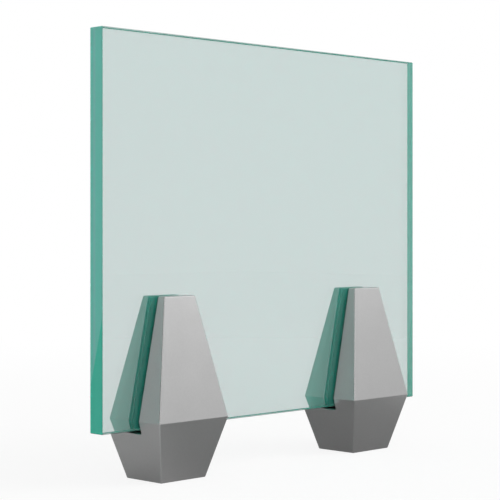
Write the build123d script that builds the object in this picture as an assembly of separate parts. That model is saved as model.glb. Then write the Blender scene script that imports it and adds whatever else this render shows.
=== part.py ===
from build123d import *
import math
import os

# Frameless glass railing: one toughened pane held upright in two faceted spigot clamps.
# All sizes are in millimetres. X runs along the pane, -Y is the front and +Z is up.
# The origin is on the floor, under the middle of the pane.

# Pane
pane_length = 387.0
pane_height = 320.0
pane_thickness = 15.0
pane_arris = 0.8            # ground bevel along every edge of the pane
left_inset = 74.5           # from the pane's left end to the left clamp's axis
right_inset = 78.5          # from the pane's right end to the right clamp's axis

# Spigot body, which widens from its base to a waist and narrows again to its top
base_length = 49.0
base_depth = 42.0
waist_length = 76.0
waist_depth = 68.0
top_length = 34.0
top_depth = 33.0
waist_height = 49.5
spigot_height = 149.0
edge_radius = 1.0           # along every outer edge above the foot
foot_bevel = 0.4            # round the underside

# Slot for the pane
slot_floor_height = 39.3
slot_floor_radius = 1.2
slot_lip = 0.4              # bevel along the slot's mouth
closing_gap = 1.2           # behind the back liner, for the plate to push the pane across

# Liners and setting block
liner_thickness = 1.6
liner_margin = 1.5          # from the liner's edge to the jaw's edge
block_length = 46.0
block_height = 2.9
block_side_gap = 0.4        # to the rounded corner of the slot's floor

# Pressure plate, in a pocket of the back jaw
plate_sill = 14.0           # from the pane's lower edge up to the plate
plate_length = 34.0
plate_height = 56.0
plate_thickness = 3.0
plate_corner = 4.0
plate_clearance = 0.5       # round the plate's edge
plate_retreat = 0.8         # behind the plate, for when the screws are backed off

# Set screws, M10 with a hexagon socket
screw_diameter = 10.0
screw_spacing = 30.0
screw_recess = 2.0          # below the sloping back face, on the screw's axis
screw_clearance = 0.05      # on the radius
screw_chamfer = 1.0
socket_flats = 5.0
socket_depth = 5.0

# Tapped hole in the underside, for the M12 stud that holds the clamp down
anchor_radius = 5.1
anchor_depth = 25.0
drill_tip_angle = 118.0

# Places that follow from the sizes above
clamp_places = {
    "left": left_inset - pane_length / 2,
    "right": pane_length / 2 - right_inset,
}
pane_bottom = slot_floor_height + block_height
pane_face = pane_thickness / 2
front_wall = -pane_face - liner_thickness
plate_front = pane_face + liner_thickness
plate_back = plate_front + plate_thickness
back_wall = plate_front + closing_gap
pocket_floor = plate_back + plate_retreat
plate_middle = pane_bottom + plate_sill + plate_height / 2
screw_heights = {
    "lower": plate_middle - screw_spacing / 2,
    "upper": plate_middle + screw_spacing / 2,
}


def slab(outline, front, back):
    # Carries an outline, drawn in the X-Z plane, from one depth to another
    return extrude(Plane.XZ.offset(-front) * outline, front - back)


def body_outline(base, waist, top):
    # The body seen from one side, upright on its base
    right = [(base / 2, 0), (waist / 2, waist_height), (top / 2, spigot_height)]
    left = [(-across, height) for across, height in reversed(right)]
    return Polygon(*right, *left, align=None)


def underside(solid):
    return solid.faces().sort_by(Axis.Z)[0]


def body_blank():
    # What the front and the side view have in common, when each is carried right through
    front = body_outline(base_length, waist_length, top_length)
    side = body_outline(base_depth, waist_depth, top_depth)
    blank = slab(front, -waist_depth, waist_depth) & extrude(Plane.YZ * side, waist_length, both=True)
    blank = fillet(blank.edges() - underside(blank).edges(), edge_radius)
    return chamfer(underside(blank).edges(), foot_bevel)


def slot_cutter():
    # Runs right through along X, open at the top, with rounded corners at its floor
    width = back_wall - front_wall
    depth = 2 * (spigot_height - slot_floor_height)
    profile = Rectangle(width, depth, align=(Align.MIN, Align.MIN))
    profile = fillet(profile.vertices().group_by(Axis.Y)[0], slot_floor_radius)
    return extrude(Plane.YZ * Pos(front_wall, slot_floor_height) * profile, waist_length, both=True)


def slot_lips(body):
    # Edges where the slot's two walls meet the sides and the top of the body
    edges = [edge for wall in body.faces().filter_by(Axis.Y) for edge in wall.edges()]
    return [edge for edge in edges if edge.center().Z > slot_floor_height + slot_floor_radius]


def plate_outline(margin):
    # Outline of the pressure plate, grown by a margin
    outline = RectangleRounded(plate_length + 2 * margin, plate_height + 2 * margin, plate_corner + margin)
    return Pos(0, plate_middle) * outline


def screw_circle(radius, height):
    # Section of a set screw, or of its hole, at the clamp's middle
    return Pos(0, height) * Circle(radius)


def anchor_hole():
    # Blind drilled hole with the cone that a drill leaves
    tip_height = anchor_radius / math.tan(math.radians(drill_tip_angle / 2))
    upright = (Align.CENTER, Align.CENTER, Align.MIN)
    tip = Pos(0, 0, anchor_depth) * Cone(anchor_radius, 0, tip_height, align=upright)
    return Cylinder(anchor_radius, anchor_depth, align=upright) + tip


def spigot_body():
    # The body in one piece: slot, pocket for the plate, two tapped holes and the floor stud's hole
    body = body_blank() - slot_cutter()
    body = chamfer(slot_lips(body), slot_lip)
    body -= slab(plate_outline(plate_clearance), back_wall, pocket_floor)
    for height in screw_heights.values():
        hole = screw_circle(screw_diameter / 2 + screw_clearance, height)
        body -= slab(hole, plate_front, waist_depth)
    return body - anchor_hole()


def liner_outline():
    # The jaw's outline less a margin, above the pane's lower edge
    jaw = offset(body_outline(base_length, waist_length, top_length), -liner_margin)
    return jaw & Pos(0, pane_bottom) * Rectangle(waist_length, spigot_height, align=(Align.CENTER, Align.MIN))


def setting_block():
    # Rests on the flat of the slot's floor and carries the pane
    depth = 2 * (-front_wall - slot_floor_radius - block_side_gap)
    block = Box(block_length, depth, block_height, align=(Align.CENTER, Align.CENTER, Align.MIN))
    return Pos(0, 0, slot_floor_height) * block


def back_face_depth(height):
    # Depth of the back face at a height, the lesser of what the lower and the upper taper give
    below = base_depth + (waist_depth - base_depth) * height / waist_height
    narrowing = (waist_depth - top_depth) / (spigot_height - waist_height)
    above = waist_depth - narrowing * (height - waist_height)
    return min(below, above) / 2


def set_screw(height):
    # From the plate to just inside the back face, with a hexagon socket in its outer end
    end = back_face_depth(height) - screw_recess
    shank = slab(screw_circle(screw_diameter / 2, height), plate_back, end)
    shank = chamfer(shank.edges().filter_by(GeomType.CIRCLE), screw_chamfer)
    hexagon = Pos(0, height) * RegularPolygon(socket_flats / 2, 6, major_radius=False)
    return shank - slab(hexagon, end - socket_depth, end)


def glass_pane():
    pane = Box(pane_length, pane_thickness, pane_height, align=(Align.CENTER, Align.CENTER, Align.MIN))
    return Pos(0, 0, pane_bottom) * chamfer(pane.edges(), pane_arris)


def clamp_pieces():
    # Every piece of one clamp, about its own axis
    pieces = {
        "spigot_body": spigot_body(),
        "front_liner": slab(liner_outline(), front_wall, -pane_face),
        "back_liner": slab(liner_outline(), pane_face, plate_front),
        "pressure_plate": slab(plate_outline(0), plate_front, plate_back),
        "setting_block": setting_block(),
    }
    for name, height in screw_heights.items():
        pieces[f"{name}_set_screw"] = set_screw(height)
    return pieces


os.makedirs("parts", exist_ok=True)
export_step(glass_pane(), "parts/glass_pane.step")
clamp = clamp_pieces()
for side, place in clamp_places.items():
    for name, piece in clamp.items():
        export_step(Pos(place, 0, 0) * piece, f"parts/{side}_{name}.step")
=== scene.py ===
import math

import bpy
import numpy as np
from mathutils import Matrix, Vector


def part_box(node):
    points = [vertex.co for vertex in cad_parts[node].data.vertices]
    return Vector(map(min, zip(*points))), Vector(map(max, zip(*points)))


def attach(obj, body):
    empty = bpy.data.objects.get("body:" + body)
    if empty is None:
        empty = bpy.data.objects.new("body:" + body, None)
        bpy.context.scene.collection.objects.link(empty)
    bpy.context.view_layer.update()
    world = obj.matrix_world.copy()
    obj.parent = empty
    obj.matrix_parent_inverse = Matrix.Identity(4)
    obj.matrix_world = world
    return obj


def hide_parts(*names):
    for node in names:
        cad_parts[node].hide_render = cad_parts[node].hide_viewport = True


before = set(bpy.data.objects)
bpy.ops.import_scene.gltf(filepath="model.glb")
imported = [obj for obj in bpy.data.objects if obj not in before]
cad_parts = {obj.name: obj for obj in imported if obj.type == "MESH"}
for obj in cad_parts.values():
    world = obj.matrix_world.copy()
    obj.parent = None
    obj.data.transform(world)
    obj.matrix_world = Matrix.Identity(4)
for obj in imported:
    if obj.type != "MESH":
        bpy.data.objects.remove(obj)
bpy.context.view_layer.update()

mm = 0.001                                   # one millimetre in the scene's metres


# Small helpers

def toLinear(hexColour):
    # sRGB hex to linear RGBA
    channels = [int(hexColour[i:i + 2], 16) / 255 for i in (1, 3, 5)]
    linear = [c / 12.92 if c <= 0.04045 else ((c + 0.055) / 1.055) ** 2.4 for c in channels]
    return linear + [1.0]


def addNode(tree, kind, settings=None, links=None):
    # One node, with its sockets or options set and its inputs linked
    node = tree.nodes.new(kind)
    for name, value in (settings or {}).items():
        if isinstance(name, int) or name in node.inputs:
            node.inputs[name].default_value = value
        else:
            setattr(node, name, value)
    for name, socket in (links or {}).items():
        tree.links.new(socket, node.inputs[name])
    return node


def newMaterial(name):
    # Empty node material, with its tree and its output
    material = bpy.data.materials.new(name)
    material.use_nodes = True
    material.node_tree.nodes.clear()
    output = addNode(material.node_tree, "ShaderNodeOutputMaterial")
    return material, material.node_tree, output


def dress(node, material):
    # Gives a CAD piece its finish
    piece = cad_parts[node]
    piece.data.materials.clear()
    piece.data.materials.append(material)


def ringFaces(rings, around):
    # Four-sided faces between each ring of points and the next, and one face over either end
    ring, step = np.divmod(np.arange((rings - 1) * around), around)
    after = (step + 1) % around
    first, second = ring * around, (ring + 1) * around
    sides = np.stack([first + step, first + after, second + after, second + step], axis=-1)
    caps = [list(range(around - 1, -1, -1)), list(range((rings - 1) * around, rings * around))]
    return sides.tolist() + caps


def meshPiece(name, points, faces, replaced):
    # A finished mesh, from points in millimetres, in place of a CAD piece
    mesh = bpy.data.meshes.new(name)
    mesh.from_pydata(np.asarray(points) * mm, [], faces)
    mesh.validate()
    piece = bpy.data.objects.new(name, mesh)
    bpy.context.scene.collection.objects.link(piece)
    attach(piece, "root")
    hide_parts(replaced)
    return piece


# Camera, at the photograph's place and angle

cameraLook = {
    "place": (-0.9780, -0.9430, 0.2064),     # metres
    "yaw": 45.41,                            # degrees, from +Y towards +X
    "lens": 112.03,                          # millimetres, as is the next
    "sensor": 36.0,
    "shift": -0.0497,                        # keeps upright lines parallel, as in the photograph
    "clip": (0.01, 50.0),                    # metres
}


def makeCamera():
    data = bpy.data.cameras.new("photoCamera")
    data.lens = cameraLook["lens"]
    data.shift_y = cameraLook["shift"]
    data.sensor_width = cameraLook["sensor"]
    data.clip_start, data.clip_end = cameraLook["clip"]
    camera = bpy.data.objects.new("photoCamera", data)
    camera.location = cameraLook["place"]
    camera.rotation_euler = (math.radians(90), 0, -math.radians(cameraLook["yaw"]))
    bpy.context.scene.collection.objects.link(camera)
    bpy.context.scene.camera = camera


makeCamera()
print("camera placed")


# Glass pane

paneLook = {
    "length": 387.0,                         # millimetres, as are the rest
    "height": 319.95,                        # 0.05 less than the solid's, for the air film below it
    "thickness": 14.9,                       # 0.05 less on each face, for the air film on the liners
    "bottom": 42.25,
    "arris": 0.5,
}


def makePane():
    # Four rings of eight points each: a rectangle with cut corners, drawn in by the arris at the
    # bottom and the top ring, and one flat face over each of those two
    cut = paneLook["arris"]
    across = np.array([1, 1, 1, -1, -1, -1, -1, 1]) * paneLook["length"] / 2
    inX = np.array([0, 0, -1, 1, 0, 0, 1, -1]) * cut
    sideY = np.array([-1, 1, 1, 1, 1, -1, -1, -1]) * paneLook["thickness"] / 2
    inY = np.array([1, -1, 0, 0, -1, 1, 0, 0]) * cut
    ringX, ringY = across + inX, sideY + inY
    lowest, highest = paneLook["bottom"], paneLook["bottom"] + paneLook["height"]
    levels = np.array([lowest, lowest + cut, highest - cut, highest])
    drawn = np.array([cut, 0, 0, cut])[:, None]
    x = ringX[None, :] - np.sign(across)[None, :] * drawn
    y = ringY[None, :] - np.sign(sideY)[None, :] * drawn
    z = np.repeat(levels[:, None], len(across), axis=1)
    points = np.stack([x, y, z], axis=-1).reshape(-1, 3)
    return meshPiece("groundEdgePane", points, ringFaces(len(levels), len(across)), "glass_pane")


pane = makePane()
print("pane made")


# Set screws with their threads, in place of the plain CAD shanks

screwLook = {
    "radius": 5.0,                           # millimetres, M10
    "pitch": 1.5,
    "threadDepth": 0.92,
    "rootShare": 0.125,                      # of half a turn of the thread, flat at the root
    "flankShare": 0.7,                       # and sloping, and the rest is the crest
    "chamfer": 1.0,
    "socketFlats": 5.0,
    "socketDepth": 5.0,
    "socketMouth": 3.1,                      # radius of the countersink round the socket
    "mouthDepth": 0.3,
    "around": 72,                            # points round the shank
    "perPitch": 12,                          # rings to each turn of the thread
}


def makeSetScrew(side, level):
    # Rings of points carried along the screw's axis, which is Y. The radius of a point is the full
    # radius less a trapezoid wave of (way along / pitch - turn), and never more than the chamfers let
    # it be. Then come the countersink, the hexagon and the floor of the socket.
    low, high = (np.array(corner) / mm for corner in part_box(f"{side}_{level}_set_screw"))
    middleX, middleZ = (low[0] + high[0]) / 2, (low[2] + high[2]) / 2
    start, end = low[1], high[1]
    full, tip = screwLook["radius"], screwLook["radius"] - screwLook["chamfer"]
    turn = np.arange(screwLook["around"]) * 2 * np.pi / screwLook["around"]
    count = int((end - start) / screwLook["pitch"] * screwLook["perPitch"]) + 1
    along = np.linspace(start, end, count)[:, None]
    wave = np.abs(2 * ((along / screwLook["pitch"] - turn / (2 * np.pi)) % 1) - 1)
    crest = np.clip((wave - screwLook["rootShare"]) / screwLook["flankShare"], 0, 1)
    thread = full - screwLook["threadDepth"] * (1 - crest)
    allowed = np.minimum(full, tip + np.minimum(along - start, end - along))
    shank = np.minimum(thread, allowed)
    hexagon = screwLook["socketFlats"] / 2 / np.cos(turn % (np.pi / 3) - np.pi / 6)
    mouth = np.full_like(turn, screwLook["socketMouth"])
    radius = np.vstack([shank, mouth, hexagon, hexagon])
    inner = [end, end - screwLook["mouthDepth"], end - screwLook["socketDepth"]]
    y = np.concatenate([along[:, 0], inner])[:, None] + 0 * turn
    x, z = middleX + radius * np.sin(turn), middleZ + radius * np.cos(turn)
    points = np.stack([x, y, z], axis=-1).reshape(-1, 3)
    return meshPiece(f"{side}{level.capitalize()}SetScrew", points, ringFaces(*radius.shape),
                     f"{side}_{level}_set_screw")


screws = [makeSetScrew(side, level) for side in ("left", "right") for level in ("lower", "upper")]
print("set screws made")


# Cast steel of the two clamps

steelLook = {
    "colour": "#C2C2C2",
    "shade": "#B4B4B4",
    "polishAndHighlightColour": "#CCCCCC",                 # where handling has polished the upper corners, lighter too as a painted highlight
    "roughness": 0.31,
    "roughnessSpread": 0.05,
    "edgeRoughness": 0.24,
    "edgeReach": (0.2, 1.5),                 # millimetres in from a corner, as are the rest
    "cloudSize": 30.0,
    "gritSize": 1.6,
    "gritDepth": 0.05,
    "middleX": -2.0,                         # half way between the two clamps
    "reachX": 117.0,                         # from there to either clamp
    "baseHalf": (24.5, 21.0),                # along X and along Y, as are the next two
    "waistHalf": (38.0, 34.0),
    "topHalf": (17.0, 16.5),
    "waistHeight": 49.5,
    "height": 149.0,
}

holeLook = {
    "screwMiddle": 84.2,                     # millimetres, half way up between a clamp's two screws
    "screwReach": 15.0,                      # from there to either screw
    "screwPitch": 1.5,
    "screwSpan": (9.0, 40.0),                # along Y
    "screwWall": 5.1,                        # radius that takes in the wall of the hole
    "anchorPitch": 1.75,
    "anchorSpan": (0.0, 25.5),               # along Z
    "anchorWall": 5.15,
    "threadDepth": 1.6,                      # of the bump
}


def clampAxes(tree, place):
    # A point's X from its own clamp's axis, which clamp the sign tells, and its Y and Z
    axes = addNode(tree, "ShaderNodeSeparateXYZ", None, {"Vector": place})
    side = addNode(tree, "ShaderNodeMath", {"operation": "SIGN"}, {0: axes.outputs["X"]})
    shifted = addNode(tree, "ShaderNodeMath", {"operation": "MULTIPLY_ADD", 1: -steelLook["reachX"] * mm},
                      {0: side.outputs[0], 2: axes.outputs["X"]})
    local = addNode(tree, "ShaderNodeMath", {"operation": "SUBTRACT", 1: steelLook["middleX"] * mm},
                    {0: shifted.outputs[0]})
    return local.outputs[0], axes.outputs["Y"], axes.outputs["Z"]


def cornerPolishAndHighlight(tree, across, deep, up):
    # 1 along the upright corners above the waist and 0 elsewhere, for polish and a painted highlight.
    # The gap to a facet is half the body's width at that height, the lesser of what its two tapers
    # give, less the way from the axis. The larger of the two gaps is the distance to the nearest
    # upright corner.
    waistHeight = steelLook["waistHeight"]
    gaps = []
    for index, way in enumerate((across, deep)):
        base, waist, top = (steelLook[key][index] for key in ("baseHalf", "waistHalf", "topHalf"))
        rising = (waist - base) / waistHeight
        falling = (top - waist) / (steelLook["height"] - waistHeight)
        foot = waist - falling * waistHeight
        below = addNode(tree, "ShaderNodeMath", {"operation": "MULTIPLY_ADD", 1: rising, 2: base * mm},
                        {0: up})
        above = addNode(tree, "ShaderNodeMath", {"operation": "MULTIPLY_ADD", 1: falling, 2: foot * mm},
                        {0: up})
        half = addNode(tree, "ShaderNodeMath", {"operation": "MINIMUM"},
                       {0: below.outputs[0], 1: above.outputs[0]})
        out = addNode(tree, "ShaderNodeMath", {"operation": "ABSOLUTE"}, {0: way})
        gap = addNode(tree, "ShaderNodeMath", {"operation": "SUBTRACT"},
                      {0: half.outputs[0], 1: out.outputs[0]})
        gaps.append(gap.outputs[0])
    edge = addNode(tree, "ShaderNodeMath", {"operation": "MAXIMUM"}, {0: gaps[0], 1: gaps[1]})
    nearest, furthest = steelLook["edgeReach"]
    nearCorner = addNode(tree, "ShaderNodeMapRange", {"interpolation_type": "SMOOTHSTEP",
                   "From Min": nearest * mm, "From Max": furthest * mm, "To Min": 1.0, "To Max": 0.0},
                   {"Value": edge.outputs[0]})
    aboveWaist = addNode(tree, "ShaderNodeMapRange", {"From Min": (waistHeight - 1) * mm,
                      "From Max": (waistHeight + 1) * mm}, {"Value": up})
    polishAndHighlight = addNode(tree, "ShaderNodeMath", {"operation": "MULTIPLY"},
                     {0: nearCorner.outputs["Result"], 1: aboveWaist.outputs["Result"]})
    return polishAndHighlight.outputs[0]


def holeThreads(tree, across, deep, up):
    # Threads: a triangle wave of (way along the hole / pitch - turn), on the holes' walls alone
    overMiddle = addNode(tree, "ShaderNodeMath", {"operation": "SUBTRACT",
                         1: holeLook["screwMiddle"] * mm}, {0: up})
    which = addNode(tree, "ShaderNodeMath", {"operation": "SIGN"}, {0: overMiddle.outputs[0]})
    overScrew = addNode(tree, "ShaderNodeMath", {"operation": "MULTIPLY_ADD",
                        1: -holeLook["screwReach"] * mm}, {0: which.outputs[0], 2: overMiddle.outputs[0]})
    threads = []
    for hole, first, second, along in (("screw", across, overScrew.outputs[0], deep),
                                       ("anchor", deep, across, up)):
        nearest, furthest = holeLook[f"{hole}Span"]
        flat = addNode(tree, "ShaderNodeCombineXYZ", None, {"X": first, "Y": second})
        away = addNode(tree, "ShaderNodeVectorMath", {"operation": "LENGTH"}, {0: flat.outputs[0]})
        turn = addNode(tree, "ShaderNodeMath", {"operation": "ARCTAN2"}, {0: first, 1: second})
        part = addNode(tree, "ShaderNodeMath", {"operation": "DIVIDE", 1: 2 * math.pi},
                       {0: turn.outputs[0]})
        way = addNode(tree, "ShaderNodeMath", {"operation": "DIVIDE", 1: holeLook[f"{hole}Pitch"] * mm},
                      {0: along})
        phase = addNode(tree, "ShaderNodeMath", {"operation": "SUBTRACT"},
                        {0: way.outputs[0], 1: part.outputs[0]})
        wave = addNode(tree, "ShaderNodeMath", {"operation": "PINGPONG", 1: 0.5}, {0: phase.outputs[0]})
        wall = addNode(tree, "ShaderNodeMath", {"operation": "LESS_THAN", 1: holeLook[f"{hole}Wall"] * mm},
                       {0: away.outputs["Value"]})
        inside = addNode(tree, "ShaderNodeMath", {"operation": "COMPARE", 1: (nearest + furthest) / 2 * mm,
                         2: (furthest - nearest) / 2 * mm}, {0: along})
        here = addNode(tree, "ShaderNodeMath", {"operation": "MULTIPLY"},
                       {0: wall.outputs[0], 1: inside.outputs[0]})
        cut = addNode(tree, "ShaderNodeMath", {"operation": "MULTIPLY"},
                      {0: wave.outputs[0], 1: here.outputs[0]})
        threads.append(cut.outputs[0])
    both = addNode(tree, "ShaderNodeMath", {"operation": "ADD"}, {0: threads[0], 1: threads[1]})
    return both.outputs[0]


def satinCastStainless():
    # Cast duplex stainless steel, fine blasted to satin: an even, soft sheen with no brush lines, a
    # little brighter along the upper corners from polish and a painted highlight. The tapped holes
    # carry their threads as a bump.
    material, tree, output = newMaterial("satinCastStainless")
    place = addNode(tree, "ShaderNodeTexCoord").outputs["Object"]
    across, deep, up = clampAxes(tree, place)
    polishAndHighlight = cornerPolishAndHighlight(tree, across, deep, up)
    cloud = addNode(tree, "ShaderNodeTexNoise", {"Scale": 1 / (steelLook["cloudSize"] * mm),
                    "Detail": 3.0}, {"Vector": place})
    # Blasting grit leaves dimples under 0.2 mm, drawn eight times as coarse so that they show
    grit = addNode(tree, "ShaderNodeTexNoise", {"Scale": 1 / (steelLook["gritSize"] * mm), "Detail": 1.0},
                   {"Vector": place})
    grain = addNode(tree, "ShaderNodeMix", {"data_type": "FLOAT", 0: 0.5},
                    {2: cloud.outputs["Fac"], 3: grit.outputs["Fac"]})
    metal = addNode(tree, "ShaderNodeMix", {"data_type": "RGBA", 6: toLinear(steelLook["colour"]),
                    7: toLinear(steelLook["shade"])}, {0: grain.outputs["Result"]})
    # Painted highlight, with the polish: the upper corners take a lighter colour
    colour = addNode(tree, "ShaderNodeMix", {"data_type": "RGBA", 7: toLinear(steelLook["polishAndHighlightColour"])},
                     {0: polishAndHighlight, 6: metal.outputs[2]})
    satin = addNode(tree, "ShaderNodeMapRange",
                    {"To Min": steelLook["roughness"] - steelLook["roughnessSpread"],
                     "To Max": steelLook["roughness"] + steelLook["roughnessSpread"]},
                    {"Value": cloud.outputs["Fac"]})
    rough = addNode(tree, "ShaderNodeMix", {"data_type": "FLOAT", 3: steelLook["edgeRoughness"]},
                    {0: polishAndHighlight, 2: satin.outputs["Result"]})
    threads = addNode(tree, "ShaderNodeBump", {"Strength": 1.0, "Distance": holeLook["threadDepth"] * mm},
                      {"Height": holeThreads(tree, across, deep, up)})
    bump = addNode(tree, "ShaderNodeBump", {"Strength": 0.2, "Distance": steelLook["gritDepth"] * mm},
                   {"Height": grit.outputs["Fac"], "Normal": threads.outputs["Normal"]})
    shader = addNode(tree, "ShaderNodeBsdfPrincipled", {"Metallic": 1.0},
                     {"Base Color": colour.outputs[2], "Roughness": rough.outputs["Result"],
                      "Normal": bump.outputs["Normal"]})
    tree.links.new(shader.outputs["BSDF"], output.inputs["Surface"])
    return material


# Rolled steel of the pressure plates

plateLook = {
    "colour": "#C9C9C6",
    "roughness": 0.3,
    "roughnessSpread": 0.06,
    "lineSize": (20.0, 0.4, 0.4),            # millimetres, along the rolling and across it
    "lineDepth": 0.03,
}


def rolledStainlessPlate():
    # Cold-rolled stainless sheet: smooth, with faint rolling lines along it
    material, tree, output = newMaterial("rolledStainlessPlate")
    place = addNode(tree, "ShaderNodeTexCoord").outputs["Object"]
    scale = [1 / (size * mm) for size in plateLook["lineSize"]]
    drawn = addNode(tree, "ShaderNodeMapping", {"Scale": scale}, {"Vector": place})
    lines = addNode(tree, "ShaderNodeTexNoise", {"Scale": 1.0, "Detail": 3.0},
                    {"Vector": drawn.outputs["Vector"]})
    rough = addNode(tree, "ShaderNodeMapRange",
                    {"To Min": plateLook["roughness"] - plateLook["roughnessSpread"],
                     "To Max": plateLook["roughness"] + plateLook["roughnessSpread"]},
                    {"Value": lines.outputs["Fac"]})
    bump = addNode(tree, "ShaderNodeBump", {"Strength": 0.2, "Distance": plateLook["lineDepth"] * mm},
                   {"Height": lines.outputs["Fac"]})
    shader = addNode(tree, "ShaderNodeBsdfPrincipled",
                     {"Metallic": 1.0, "Base Color": toLinear(plateLook["colour"])},
                     {"Roughness": rough.outputs["Result"], "Normal": bump.outputs["Normal"]})
    tree.links.new(shader.outputs["BSDF"], output.inputs["Surface"])
    return material


# Rolled steel of the set screws

screwSteelLook = {
    "colour": "#A9A9A6",
    "tarnish": "#8D8B86",
    "roughness": 0.28,
    "tarnishRoughness": 0.43,
    "patchSize": 4.0,                        # millimetres, as are the rest
    "markSize": 0.3,
    "markDepth": 0.03,
}


def rolledThreadStainless():
    # Stainless set screws with rolled threads: fairly bright, dulled in patches by oil and handling
    material, tree, output = newMaterial("rolledThreadStainless")
    place = addNode(tree, "ShaderNodeTexCoord").outputs["Object"]
    patches = addNode(tree, "ShaderNodeTexNoise", {"Scale": 1 / (screwSteelLook["patchSize"] * mm),
                      "Detail": 4.0}, {"Vector": place})
    fine = addNode(tree, "ShaderNodeTexNoise", {"Scale": 1 / (screwSteelLook["markSize"] * mm),
                   "Detail": 2.0}, {"Vector": place})
    dull = addNode(tree, "ShaderNodeMapRange", {"From Min": 0.45, "From Max": 0.75},
                   {"Value": patches.outputs["Fac"]})
    colour = addNode(tree, "ShaderNodeMix", {"data_type": "RGBA", 6: toLinear(screwSteelLook["colour"]),
                     7: toLinear(screwSteelLook["tarnish"])}, {0: dull.outputs["Result"]})
    rough = addNode(tree, "ShaderNodeMapRange", {"To Min": screwSteelLook["roughness"],
                    "To Max": screwSteelLook["tarnishRoughness"]}, {"Value": dull.outputs["Result"]})
    bump = addNode(tree, "ShaderNodeBump", {"Strength": 0.15,
                   "Distance": screwSteelLook["markDepth"] * mm}, {"Height": fine.outputs["Fac"]})
    shader = addNode(tree, "ShaderNodeBsdfPrincipled", {"Metallic": 1.0},
                     {"Base Color": colour.outputs[2], "Roughness": rough.outputs["Result"],
                      "Normal": bump.outputs["Normal"]})
    tree.links.new(shader.outputs["BSDF"], output.inputs["Surface"])
    return material


# Glass of the pane

glassLook = {
    "clearTint": "#FDE8F0",
    # Painted light: a green that the glass sends back over dark pieces, for light carried inside it
    "body": "#30FFE0",
    "bodyShare": 0.22,                       # of the light that this painted green sends back
    # Painted light on the ends: the green of light carried the whole length of the pane
    "endClear": "#87FDE9",
    "endShaded": "#4AF3D2",                  # painted shade, below the line where the clamp shades the light in the glass
    # painted reflection: a greyer streak up the end
    "endStreak": "#A6F6EE",
    "endShare": 0.85,                        # as bodyShare, on the ground ends and the arrises
    "endInside": "#FFEDED",                  # painted shade: what is left of an end's colour, seen through the pane
    "groundRoughness": 0.22,
    # painted shade: the arrises' darker green
    "arrisPaintedShade": "#3E8B7A",
    "arrisOnEnd": 0.5,                       # how much of that the arrises beside an end take
    "index": 1.52,
    "absorb": "#B5E2D6",
    "density": 1.0,                          # per metre of glass
    "margin": 0.02,                          # millimetres round an arris, for rounding errors
    "shadeHeight": 105.0,                    # millimetres, on the end's middle line
    "shadeBlur": 4.0,                        # millimetres above and below that line
    "shadeSlope": 3.75,                      # millimetres lower for each towards the back
    # Place and width of the painted reflection streak up the end
    "streakPlace": 2.1,                      # millimetres behind the middle of the end
    "streakReach": (0.4, 2.2),               # millimetres from there, where it is full and where it ends
    "streakShare": 0.7,
    "wheelSize": (40.0, 0.5, 40.0),          # millimetres, of the lines that the grinding wheel leaves
    "wheelDepth": 0.03,
}


def groundEdges(tree, axes):
    # 1 on the ground ends with their upright arrises, and 1 on all upright and lengthwise arrises
    along = addNode(tree, "ShaderNodeMath", {"operation": "ABSOLUTE"}, {0: axes.outputs["X"]})
    endStart = (paneLook["length"] / 2 - paneLook["arris"] - glassLook["margin"]) * mm
    end = addNode(tree, "ShaderNodeMath", {"operation": "GREATER_THAN", 1: endStart},
                  {0: along.outputs[0]})
    depth = addNode(tree, "ShaderNodeMath", {"operation": "ABSOLUTE"}, {0: axes.outputs["Y"]})
    arrisMiddle = (paneLook["thickness"] - paneLook["arris"]) / 2 * mm
    arrisHalf = (paneLook["arris"] / 2 - glassLook["margin"]) * mm
    arris = addNode(tree, "ShaderNodeMath", {"operation": "COMPARE", 1: arrisMiddle, 2: arrisHalf},
                    {0: depth.outputs[0]})
    return end.outputs[0], arris.outputs[0]


def endGreen(tree, axes, inside):
    # The end's colour: painted shade below a slanting line, with one greyer painted streak up its middle
    slanted = addNode(tree, "ShaderNodeMath", {"operation": "MULTIPLY_ADD", 1: glassLook["shadeSlope"]},
                      {0: axes.outputs["Y"], 2: axes.outputs["Z"]})
    shadeStart = (glassLook["shadeHeight"] - glassLook["shadeBlur"]) * mm
    shadeEnd = (glassLook["shadeHeight"] + glassLook["shadeBlur"]) * mm
    above = addNode(tree, "ShaderNodeMapRange", {"interpolation_type": "SMOOTHSTEP",
                    "From Min": shadeStart, "From Max": shadeEnd}, {"Value": slanted.outputs[0]})
    # Painted reflection: a greyer streak up the end's middle
    offStreak = addNode(tree, "ShaderNodeMath", {"operation": "SUBTRACT",
                        1: glassLook["streakPlace"] * mm}, {0: axes.outputs["Y"]})
    offLine = addNode(tree, "ShaderNodeMath", {"operation": "ABSOLUTE"}, {0: offStreak.outputs[0]})
    full, none = glassLook["streakReach"]
    streak = addNode(tree, "ShaderNodeMapRange", {"interpolation_type": "SMOOTHSTEP",
                     "From Min": full * mm, "From Max": none * mm, "To Min": glassLook["streakShare"],
                     "To Max": 0.0}, {"Value": offLine.outputs[0]})
    streaked = addNode(tree, "ShaderNodeMix", {"data_type": "RGBA", 6: toLinear(glassLook["endClear"]),
                       7: toLinear(glassLook["endStreak"])}, {0: streak.outputs["Result"]})
    plain = addNode(tree, "ShaderNodeMix", {"data_type": "RGBA", 6: toLinear(glassLook["endShaded"])},
                    {0: above.outputs["Result"], 7: streaked.outputs[2]})
    # Painted shade: an end seen from within the pane is darker
    colour = addNode(tree, "ShaderNodeMix", {"data_type": "RGBA", "blend_type": "MULTIPLY",
                     7: toLinear(glassLook["endInside"])}, {0: inside, 6: plain.outputs[2]})
    return colour.outputs[2]


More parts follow.
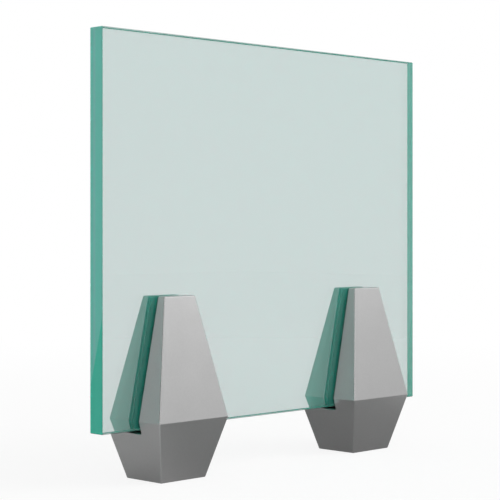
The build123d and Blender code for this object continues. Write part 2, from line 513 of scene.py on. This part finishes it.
def toughenedFloatGlass():
    # Sea-green float glass, toughened and polished: clear, with a painted green glow that shows over dark
    # pieces and fills the edges, standing in for the light that has come the whole length of the pane
    material, tree, output = newMaterial("toughenedFloatGlass")
    place = addNode(tree, "ShaderNodeTexCoord").outputs["Object"]
    axes = addNode(tree, "ShaderNodeSeparateXYZ", None, {"Vector": place})
    inside = addNode(tree, "ShaderNodeNewGeometry").outputs["Backfacing"]
    end, arris = groundEdges(tree, axes)
    # Painted shade: the arrises take a darker green, less of it beside an end
    dark = addNode(tree, "ShaderNodeMath", {"operation": "MULTIPLY_ADD", "use_clamp": True,
                   1: glassLook["arrisOnEnd"] - 1}, {0: end, 2: arris})
    # An arris of an end lets the light through when it is seen from within
    upright = addNode(tree, "ShaderNodeMath", {"operation": "MULTIPLY"}, {0: end, 1: arris})
    through = addNode(tree, "ShaderNodeMath", {"operation": "MULTIPLY"}, {0: upright.outputs[0], 1: inside})
    ground = addNode(tree, "ShaderNodeMath", {"operation": "MAXIMUM"}, {0: end, 1: arris})
    filled = addNode(tree, "ShaderNodeMath", {"operation": "SUBTRACT"},
                     {0: ground.outputs[0], 1: through.outputs[0]})
    share = addNode(tree, "ShaderNodeMapRange", {"To Min": glassLook["bodyShare"],
                    "To Max": glassLook["endShare"]}, {"Value": filled.outputs[0]})
    # Painted light: the glass's green, deeper on the ends
    green = addNode(tree, "ShaderNodeMix", {"data_type": "RGBA", 6: toLinear(glassLook["body"])},
                    {0: end, 7: endGreen(tree, axes, inside)})
    shaded = addNode(tree, "ShaderNodeMix", {"data_type": "RGBA", 7: toLinear(glassLook["arrisPaintedShade"])},
                     {0: dark.outputs[0], 6: green.outputs[2]})
    # Ground surfaces are duller, with the wheel's fine lines along them; the faces stay perfectly smooth
    dull = addNode(tree, "ShaderNodeMath", {"operation": "MULTIPLY", 1: glassLook["groundRoughness"]},
                   {0: ground.outputs[0]})
    scale = [1 / (size * mm) for size in glassLook["wheelSize"]]
    drawn = addNode(tree, "ShaderNodeMapping", {"Scale": scale}, {"Vector": place})
    lines = addNode(tree, "ShaderNodeTexNoise", {"Scale": 1.0, "Detail": 2.0},
                    {"Vector": drawn.outputs["Vector"]})
    wheel = addNode(tree, "ShaderNodeMath", {"operation": "MULTIPLY"},
                    {0: lines.outputs["Fac"], 1: ground.outputs[0]})
    bump = addNode(tree, "ShaderNodeBump", {"Strength": 0.3, "Distance": glassLook["wheelDepth"] * mm},
                   {"Height": wheel.outputs[0]})
    clear = addNode(tree, "ShaderNodeBsdfPrincipled", {"Base Color": toLinear(glassLook["clearTint"]),
                    "IOR": glassLook["index"], "Transmission Weight": 1.0},
                    {"Roughness": dull.outputs[0], "Normal": bump.outputs["Normal"]})
    body = addNode(tree, "ShaderNodeBsdfPrincipled", {"IOR": glassLook["index"]},
                   {"Base Color": shaded.outputs[2], "Roughness": dull.outputs[0],
                    "Normal": bump.outputs["Normal"]})
    both = addNode(tree, "ShaderNodeMixShader", None,
                   {0: share.outputs["Result"], 1: clear.outputs["BSDF"], 2: body.outputs["BSDF"]})
    volume = addNode(tree, "ShaderNodeVolumeAbsorption", {"Color": toLinear(glassLook["absorb"]),
                     "Density": glassLook["density"]})
    tree.links.new(both.outputs["Shader"], output.inputs["Surface"])
    tree.links.new(volume.outputs["Volume"], output.inputs["Volume"])
    return material


# Rubber of the liners and the setting blocks

rubberLook = {
    "liner": "#6B6C6A",
    "block": "#1D1D1D",
    "roughness": 0.7,
    "grainSize": 0.8,                        # millimetres, as is the next
    "grainDepth": 0.05,
}


def mouldedRubber(name, colourHex):
    # Moulded EPDM rubber: matt, with a faint sheen
    material, tree, output = newMaterial(name)
    place = addNode(tree, "ShaderNodeTexCoord").outputs["Object"]
    grain = addNode(tree, "ShaderNodeTexNoise", {"Scale": 1 / (rubberLook["grainSize"] * mm),
                    "Detail": 3.0}, {"Vector": place})
    bump = addNode(tree, "ShaderNodeBump", {"Strength": 0.3, "Distance": rubberLook["grainDepth"] * mm},
                   {"Height": grain.outputs["Fac"]})
    shader = addNode(tree, "ShaderNodeBsdfPrincipled", {"Base Color": toLinear(colourHex),
                     "Roughness": rubberLook["roughness"]}, {"Normal": bump.outputs["Normal"]})
    tree.links.new(shader.outputs["BSDF"], output.inputs["Surface"])
    return material


steel = satinCastStainless()
plateSteel = rolledStainlessPlate()
screwSteel = rolledThreadStainless()
glass = toughenedFloatGlass()
linerRubber = mouldedRubber("mouldedRubberGrey", rubberLook["liner"])
blockRubber = mouldedRubber("mouldedRubberBlack", rubberLook["block"])

pane.data.materials.append(glass)
for side in ("left", "right"):
    dress(f"{side}_spigot_body", steel)
    dress(f"{side}_pressure_plate", plateSteel)
    dress(f"{side}_front_liner", linerRubber)
    dress(f"{side}_back_liner", linerRubber)
    dress(f"{side}_setting_block", blockRubber)
for screw in screws:
    screw.data.materials.append(screwSteel)
print("finishes assigned")


# Studio: plain white to look at, straight or through the glass. What is mirrored shows a grey surround
# with a soft bright area at the right, a weaker one behind the camera and a dark panel at the left.

studioLook = {
    "worldFill": 1.15,                       # what the matt pieces get from all round
    "levelAtHorizon": 1.08,
    "levelOverhead": 0.7,
    "overhead": 0.6,                         # sine of the height from which that level holds
    "brightSide": (0.73, -0.68, 0.0),        # front right, where the surround is lightest
    "brightSideShare": 0.62,
    "darkSideShare": 0.58,
    "softbox": (0.62, -0.6, 0.5),            # the middle of a soft white area in the surround
    "softboxEdge": 0.91,                     # cosine of the angle from there to where it ends
    "softboxLevel": 1.9,
    "frontFill": (-0.62, -0.66, 0.42),       # a second one, behind the camera
    "frontFillEdge": 0.9,
    "frontFillLevel": 0.8,
    "flag": (-0.9945, 0.1045, 0.0),          # a dark panel at the left, for what is mirrored once
    "flagEdges": (0.72, 0.82),               # cosines, where it begins and where it is full
    "flagLevel": 0.4,
    "floorSize": 8.0,                        # metres
    "floorGlow": 0.85,
    "floorColour": "#757575",
    "floorFade": (0.3, 1.5),                 # metres out, over which the floor turns plain white
    "steelSeesNear": "#848484",              # the floor as the steel reflects it before the pane, greyed by a painted shadow
    "steelSeesFar": "#CECECE",               # and a hand's width out
    # middle of the painted shadow that the steel reflects
    "nearMiddle": (0.06, -0.03, 0.0),
    "nearReach": (0.13, 0.27),               # metres from there, over which the one grey turns into the other
    "floorGlossShare": 0.2,                  # of the glow, in the steel
    "lampPlace": (0.85, -0.75, 1.0),         # metres, as are the next two
    "lampAim": (0.0, 0.0, 0.15),
    "lampSize": (1.2, 1.0),
    "lampPower": 3.0,                        # watts
    "bounces": 48,                           # light runs along the pane, a dozen times from face to face
}


def lightPaths(tree):
    # 1 for rays that look at the studio straight or through glass, and 1 for rays mirrored by a surface
    path = addNode(tree, "ShaderNodeLightPath")
    straight = addNode(tree, "ShaderNodeMath", {"operation": "MAXIMUM"},
                       {0: path.outputs["Is Camera Ray"], 1: path.outputs["Is Transmission Ray"]})
    mirrored = addNode(tree, "ShaderNodeMath", {"operation": "SUBTRACT", "use_clamp": True},
                       {0: path.outputs["Is Glossy Ray"], 1: straight.outputs[0]})
    return straight.outputs[0], mirrored.outputs[0]


def softArea(tree, direction, name):
    # A round bright area of the surround, which fades from its middle to its edge
    aim = addNode(tree, "ShaderNodeVectorMath", {"operation": "DOT_PRODUCT", 1: studioLook[name]},
                  {0: direction})
    area = addNode(tree, "ShaderNodeMapRange", {"interpolation_type": "SMOOTHSTEP",
                   "From Min": studioLook[f"{name}Edge"], "From Max": 1.0, "To Min": 0.0,
                   "To Max": studioLook[f"{name}Level"]}, {"Value": aim.outputs["Value"]})
    return area.outputs["Result"]


def greySurround(tree, direction):
    # Level of the surround: what its height gives times what its side gives, plus the soft areas
    axes = addNode(tree, "ShaderNodeSeparateXYZ", None, {"Vector": direction})
    height = addNode(tree, "ShaderNodeMapRange", {"interpolation_type": "SMOOTHSTEP", "From Min": 0.0,
                     "From Max": studioLook["overhead"], "To Min": studioLook["levelAtHorizon"],
                     "To Max": studioLook["levelOverhead"]}, {"Value": axes.outputs["Z"]})
    towards = addNode(tree, "ShaderNodeVectorMath", {"operation": "DOT_PRODUCT",
                      1: studioLook["brightSide"]}, {0: direction})
    side = addNode(tree, "ShaderNodeMapRange", {"From Min": -1.0, "From Max": 1.0,
                   "To Min": studioLook["darkSideShare"], "To Max": studioLook["brightSideShare"]},
                   {"Value": towards.outputs["Value"]})
    panels = addNode(tree, "ShaderNodeMath", {"operation": "ADD"},
                     {0: softArea(tree, direction, "softbox"), 1: softArea(tree, direction, "frontFill")})
    surround = addNode(tree, "ShaderNodeMath", {"operation": "MULTIPLY_ADD"},
                       {0: height.outputs["Result"], 1: side.outputs["Result"], 2: panels.outputs[0]})
    return surround.outputs[0]


def darkPanel(tree, direction):
    # Share of light that the dark panel leaves. It counts for rays that left one mirror-like surface,
    # also for those that then went through the pane.
    toFlag = addNode(tree, "ShaderNodeVectorMath", {"operation": "DOT_PRODUCT", 1: studioLook["flag"]},
                     {0: direction})
    begins, full = studioLook["flagEdges"]
    flag = addNode(tree, "ShaderNodeMapRange", {"interpolation_type": "SMOOTHSTEP", "From Min": begins,
                   "From Max": full, "To Min": 1.0, "To Max": studioLook["flagLevel"]},
                   {"Value": toFlag.outputs["Value"]})
    path = addNode(tree, "ShaderNodeLightPath")
    mirroredOnce = addNode(tree, "ShaderNodeMath", {"operation": "COMPARE", 1: 1.0, 2: 0.5},
                           {0: path.outputs["Glossy Depth"]})
    flagged = addNode(tree, "ShaderNodeMix", {"data_type": "FLOAT", 2: 1.0},
                      {0: mirroredOnce.outputs[0], 3: flag.outputs["Result"]})
    return flagged.outputs[0]


def makeWorld():
    world = bpy.data.worlds.new("whiteStudio")
    world.use_nodes = True
    tree = world.node_tree
    tree.nodes.clear()
    output = addNode(tree, "ShaderNodeOutputWorld")
    straight, mirrored = lightPaths(tree)
    seen = addNode(tree, "ShaderNodeMath", {"operation": "MAXIMUM"}, {0: straight, 1: mirrored})
    level = addNode(tree, "ShaderNodeMapRange", {"To Min": studioLook["worldFill"], "To Max": 1.0},
                    {"Value": seen.outputs[0]})
    direction = addNode(tree, "ShaderNodeTexCoord").outputs["Generated"]
    share = addNode(tree, "ShaderNodeMix", {"data_type": "FLOAT", 3: 1.0},
                    {0: straight, 2: greySurround(tree, direction)})
    shared = addNode(tree, "ShaderNodeMath", {"operation": "MULTIPLY"},
                     {0: share.outputs[0], 1: darkPanel(tree, direction)})
    strength = addNode(tree, "ShaderNodeMath", {"operation": "MULTIPLY"},
                       {0: level.outputs["Result"], 1: shared.outputs[0]})
    back = addNode(tree, "ShaderNodeBackground", {"Color": (1, 1, 1, 1)},
                   {"Strength": strength.outputs[0]})
    tree.links.new(back.outputs["Background"], output.inputs["Surface"])
    bpy.context.scene.world = world


def studioFloorPaper():
    # Matt grey paper that glows up to plain white, and looks darker where the steel reflects it, with a
    # painted shadow near the clamps
    material, tree, output = newMaterial("studioFloorPaper")
    straight, mirrored = lightPaths(tree)
    dimmed = addNode(tree, "ShaderNodeMath", {"operation": "MULTIPLY", 1: studioLook["floorGlossShare"]},
                     {0: mirrored})
    seen = addNode(tree, "ShaderNodeMath", {"operation": "MAXIMUM"}, {0: straight, 1: dimmed.outputs[0]})
    place = addNode(tree, "ShaderNodeTexCoord").outputs["Object"]
    distance = addNode(tree, "ShaderNodeVectorMath", {"operation": "LENGTH"}, {0: place})
    fadeStart, fadeEnd = studioLook["floorFade"]
    far = addNode(tree, "ShaderNodeMapRange", {"interpolation_type": "SMOOTHSTEP",
                  "From Min": fadeStart, "From Max": fadeEnd}, {"Value": distance.outputs["Value"]})
    level = addNode(tree, "ShaderNodeMapRange", {"To Min": studioLook["floorGlow"], "To Max": 1.0},
                    {"Value": far.outputs["Result"]})
    glow = addNode(tree, "ShaderNodeMath", {"operation": "MULTIPLY"},
                   {0: seen.outputs[0], 1: level.outputs["Result"]})
    light = addNode(tree, "ShaderNodeEmission", {"Color": (1, 1, 1, 1)}, {"Strength": glow.outputs[0]})
    grey = addNode(tree, "ShaderNodeMix", {"data_type": "RGBA", 6: toLinear(studioLook["floorColour"]),
                   7: (0, 0, 0, 1)}, {0: far.outputs["Result"]})
    # Painted shadow: the floor the steel reflects is darker near the clamps' middle
    fromMiddle = addNode(tree, "ShaderNodeVectorMath", {"operation": "DISTANCE",
                         1: studioLook["nearMiddle"]}, {0: place})
    nearEnd, farStart = studioLook["nearReach"]
    near = addNode(tree, "ShaderNodeMapRange", {"interpolation_type": "SMOOTHSTEP",
                   "From Min": nearEnd, "From Max": farStart}, {"Value": fromMiddle.outputs["Value"]})
    inSteel = addNode(tree, "ShaderNodeMix", {"data_type": "RGBA",
                      6: toLinear(studioLook["steelSeesNear"]), 7: toLinear(studioLook["steelSeesFar"])},
                      {0: near.outputs["Result"]})
    shade = addNode(tree, "ShaderNodeMix", {"data_type": "RGBA"},
                    {0: mirrored, 6: grey.outputs[2], 7: inSteel.outputs[2]})
    paper = addNode(tree, "ShaderNodeBsdfDiffuse", None, {"Color": shade.outputs[2]})
    both = addNode(tree, "ShaderNodeAddShader", None, {0: light.outputs[0], 1: paper.outputs[0]})
    tree.links.new(both.outputs[0], output.inputs["Surface"])
    return material


def makeFloor():
    half = studioLook["floorSize"] / 2
    corners = [(-half, -half, 0), (half, -half, 0), (half, half, 0), (-half, half, 0)]
    mesh = bpy.data.meshes.new("studioFloor")
    mesh.from_pydata(corners, [], [(0, 1, 2, 3)])
    floor = bpy.data.objects.new("studioFloor", mesh)
    bpy.context.scene.collection.objects.link(floor)
    floor.data.materials.append(studioFloorPaper())


def makeLamp():
    data = bpy.data.lights.new("keySoftbox", "AREA")
    data.shape = "RECTANGLE"
    data.size, data.size_y = studioLook["lampSize"]
    data.energy = studioLook["lampPower"]
    lamp = bpy.data.objects.new("keySoftbox", data)
    lamp.location = studioLook["lampPlace"]
    towards = Vector(studioLook["lampAim"]) - lamp.location
    lamp.rotation_euler = towards.to_track_quat("-Z", "Y").to_euler()
    lamp.visible_transmission = False
    lamp.visible_glossy = False
    bpy.context.scene.collection.objects.link(lamp)


makeWorld()
makeFloor()
makeLamp()
bpy.context.scene.cycles.max_bounces = studioLook["bounces"]
bpy.context.scene.cycles.transmission_bounces = studioLook["bounces"]
bpy.context.scene.cycles.glossy_bounces = studioLook["bounces"]
print("studio set")

bpy.context.scene.view_settings.view_transform = "Standard"
